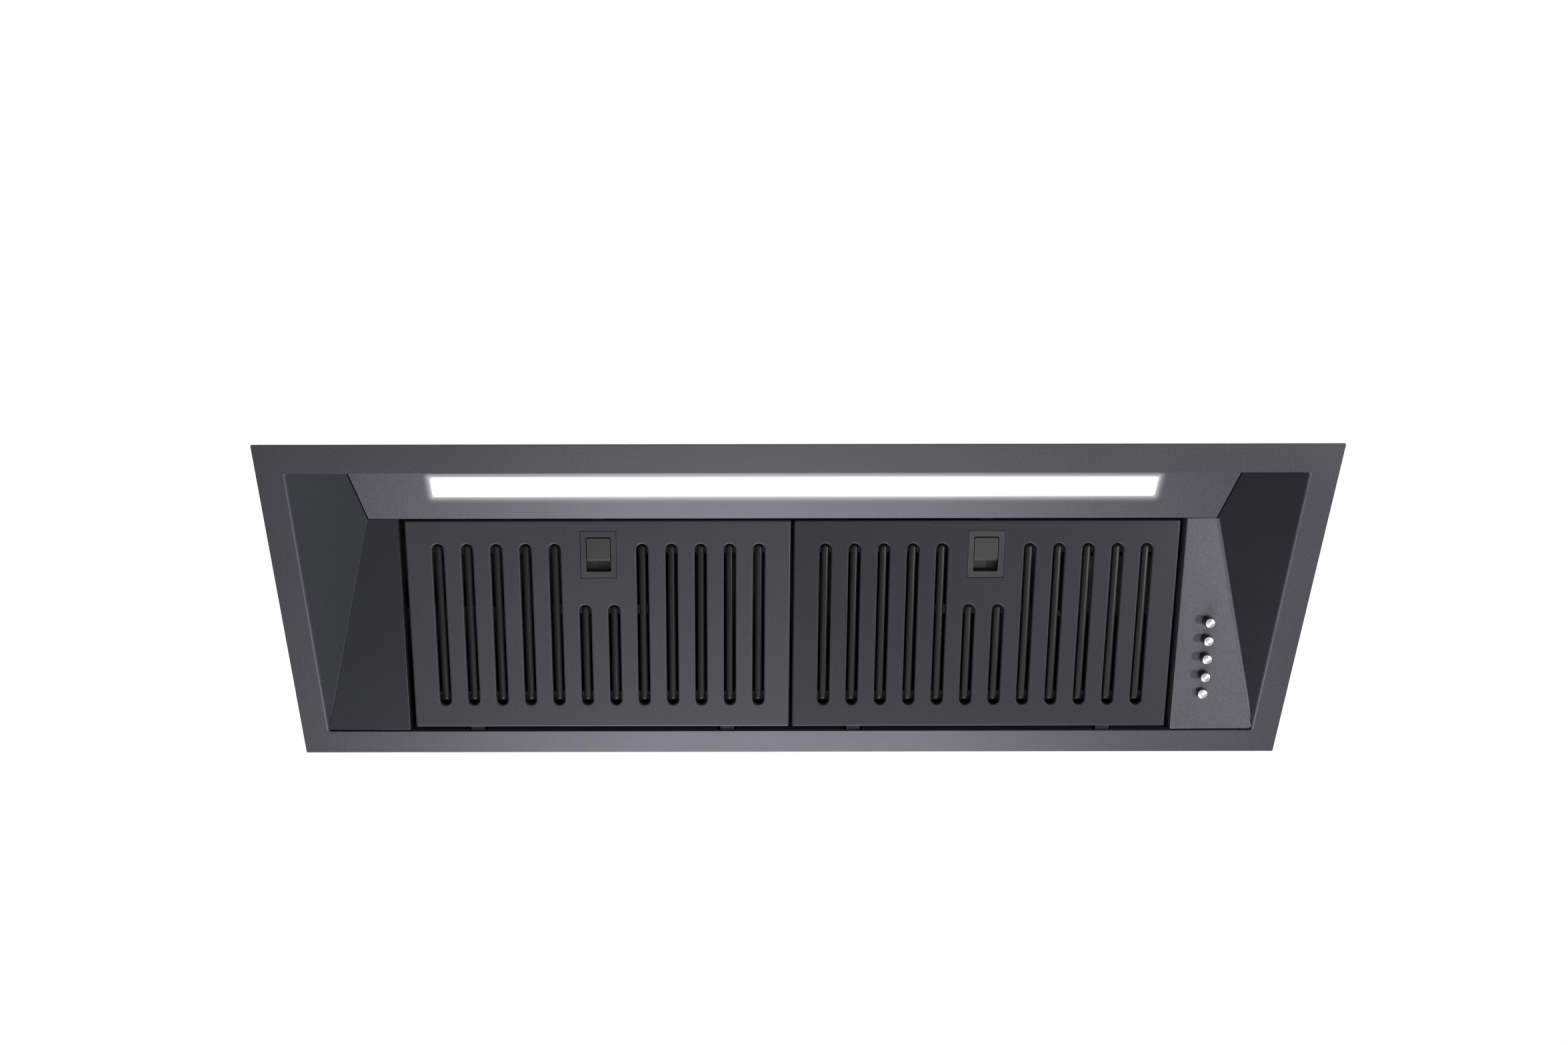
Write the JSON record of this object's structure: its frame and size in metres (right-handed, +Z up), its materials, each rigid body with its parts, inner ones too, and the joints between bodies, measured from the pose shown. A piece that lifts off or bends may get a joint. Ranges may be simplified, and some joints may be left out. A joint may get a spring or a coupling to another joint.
{
  "type": "range hood insert",
  "caption": "Under-cabinet range hood insert with slotted baffle filters, a lamp strip, push buttons, a blower and a flapped duct collar.",
  "frame": {"origin": "centre of the flange's underside, at the middle of the object's footprint", "axes": "+Z up into the cabinet, +X to the right and +Y to the rear as seen by someone at the cooker"},
  "size_m": [0.86, 0.3, 0.253],
  "materials": {
    "shell_paint": "fine-textured dark grey powder coat",
    "filter_paint": "satin dark grey powder coat",
    "galvanised": "galvanised sheet with a faint spangle",
    "screw_steel": "bright zinc-plated steel",
    "black_plastic": "fine-grained black moulding",
    "button_chrome": "polished chrome",
    "motor_cast": "die-cast",
    "grommet_rubber": "matt rubber",
    "opal": "opal diffuser",
    "lamp_aluminium": "extruded",
    "board_green": "lacquered board"
  },
  "bodies": {
    "root": {"blower_scroll": "galvanised", "button_bushes": "black_plastic", "cable_gland": "black_plastic", "capacitor": "lamp_aluminium", "capacitor_clip": "galvanised", "control_board": "board_green", "control_box": "black_plastic", "duct_collar": "galvanised", "flange_frame": "shell_paint", "flap_spindle": "screw_steel", "housing_screws": "screw_steel", "led_board": "board_green", "led_driver": "black_plastic", "left_cheek": "shell_paint", "left_end_panel": "shell_paint", "light_channel": "lamp_aluminium", "light_diffuser": "opal", "light_panel": "shell_paint", "motor_body": "motor_cast", "motor_bracket": "galvanised", "motor_grommets": "grommet_rubber", "motor_housing": "galvanised", "plenum_casing": "galvanised", "right_cheek": "shell_paint", "right_end_panel": "shell_paint", "switch_block": "black_plastic"},
    "impeller": {"impeller": "black_plastic", "motor_shaft": "screw_steel"},
    "flap_left": {"flap_left": "black_plastic"},
    "flap_right": {"flap_right": "black_plastic"},
    "filter_left": {"left_filter_face": "filter_paint", "left_filter_baffle": "filter_paint", "left_latch_bezel": "black_plastic"},
    "filter_right": {"right_filter_face": "filter_paint", "right_filter_baffle": "filter_paint", "right_latch_bezel": "black_plastic"},
    "latch_left": {"left_latch_slider": "black_plastic"},
    "latch_right": {"right_latch_slider": "black_plastic"},
    "button_1": {"button_1": "button_chrome"},
    "button_2": {"button_2": "button_chrome"},
    "button_3": {"button_3": "button_chrome"},
    "button_4": {"button_4": "button_chrome"},
    "button_5": {"button_5": "button_chrome"}
  },
  "joints": [
    {"name": "filter_left_tilt", "type": "hinge", "parent": "root", "child": "filter_left", "pos_m": [-0.1655, 0.1245, 0.0027], "axis": [1, 0, 0], "range_deg": [0, 75]},
    {"name": "latch_left_slide", "type": "slide", "parent": "filter_left", "child": "latch_left", "axis": [0, 0.9697, -0.2442], "range_m": [0, 0.006], "stiffness_N_per_m": 350, "springref_m": -0.002},
    {"name": "filter_right_tilt", "type": "hinge", "parent": "root", "child": "filter_right", "pos_m": [0.1655, 0.1245, 0.0027], "axis": [1, 0, 0], "range_deg": [0, 75]},
    {"name": "latch_right_slide", "type": "slide", "parent": "filter_right", "child": "latch_right", "axis": [0, 0.9697, -0.2442], "range_m": [0, 0.006], "stiffness_N_per_m": 350, "springref_m": -0.002},
    {"name": "impeller_spin", "type": "hinge", "parent": "root", "child": "impeller", "pos_m": [0, 0.0262, 0.153], "axis": [1, 0, 0], "continuous": true},
    {"name": "flap_left_swing", "type": "hinge", "parent": "root", "child": "flap_left", "pos_m": [0, 0.0405, 0.241], "axis": [0, 1, 0], "range_deg": [0, 75]},
    {"name": "flap_right_swing", "type": "hinge", "parent": "root", "child": "flap_right", "pos_m": [0, 0.0405, 0.241], "axis": [0, -1, 0], "range_deg": [0, 75]},
    {"name": "button_1_push", "type": "slide", "parent": "root", "child": "button_1", "axis": [0, 0.2442, 0.9697], "range_m": [0, 0.0035], "stiffness_N_per_m": 300, "springref_m": -0.001},
    {"name": "button_2_push", "type": "slide", "parent": "root", "child": "button_2", "axis": [0, 0.2442, 0.9697], "range_m": [0, 0.0035], "stiffness_N_per_m": 300, "springref_m": -0.001},
    {"name": "button_3_push", "type": "slide", "parent": "root", "child": "button_3", "axis": [0, 0.2442, 0.9697], "range_m": [0, 0.0035], "stiffness_N_per_m": 300, "springref_m": -0.001},
    {"name": "button_4_push", "type": "slide", "parent": "root", "child": "button_4", "axis": [0, 0.2442, 0.9697], "range_m": [0, 0.0035], "stiffness_N_per_m": 300, "springref_m": -0.001},
    {"name": "button_5_push", "type": "slide", "parent": "root", "child": "button_5", "axis": [0, 0.2442, 0.9697], "range_m": [-0.0035, 0], "stiffness_N_per_m": 300, "springref_m": 0.0005}
  ]
}
